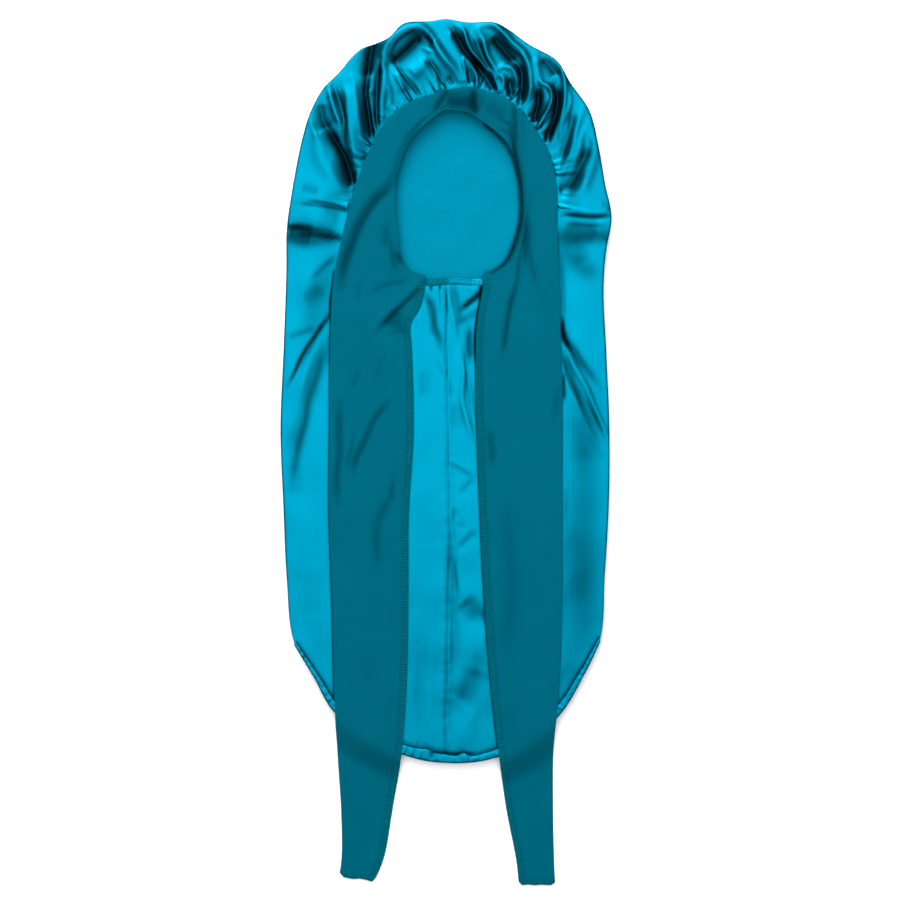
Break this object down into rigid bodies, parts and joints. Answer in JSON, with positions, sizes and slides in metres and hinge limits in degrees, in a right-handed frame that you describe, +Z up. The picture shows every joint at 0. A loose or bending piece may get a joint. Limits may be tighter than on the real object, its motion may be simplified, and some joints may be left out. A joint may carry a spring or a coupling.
{
  "type": "sleep bonnet with a tie band",
  "caption": "Long satin sleep bonnet lying flat: gathered crown, open face hole with a folded jersey band that runs down into ties, and an open gathered hem.",
  "frame": {"origin": "on the surface the bonnet lies on, under the middle of the whole bonnet, ties included", "axes": "+Y from the hem towards the crown, +Z up away from the surface, +X to the right as seen from above"},
  "size_m": [0.312, 0.8166, 0.0339],
  "materials": {
    "satin": "glossy polyester satin, smooth face out",
    "jersey": "matte fine stretch jersey, folded double",
    "overlock": "overlocked satin edge with dark teal thread"
  },
  "bodies": {
    "root": {"satin_front": "satin", "satin_rear": "satin", "face_band": "jersey", "tie_left": "jersey", "tie_right": "jersey", "nape_edge": "overlock", "hem_casing": "satin"}
  },
  "joints": []
}
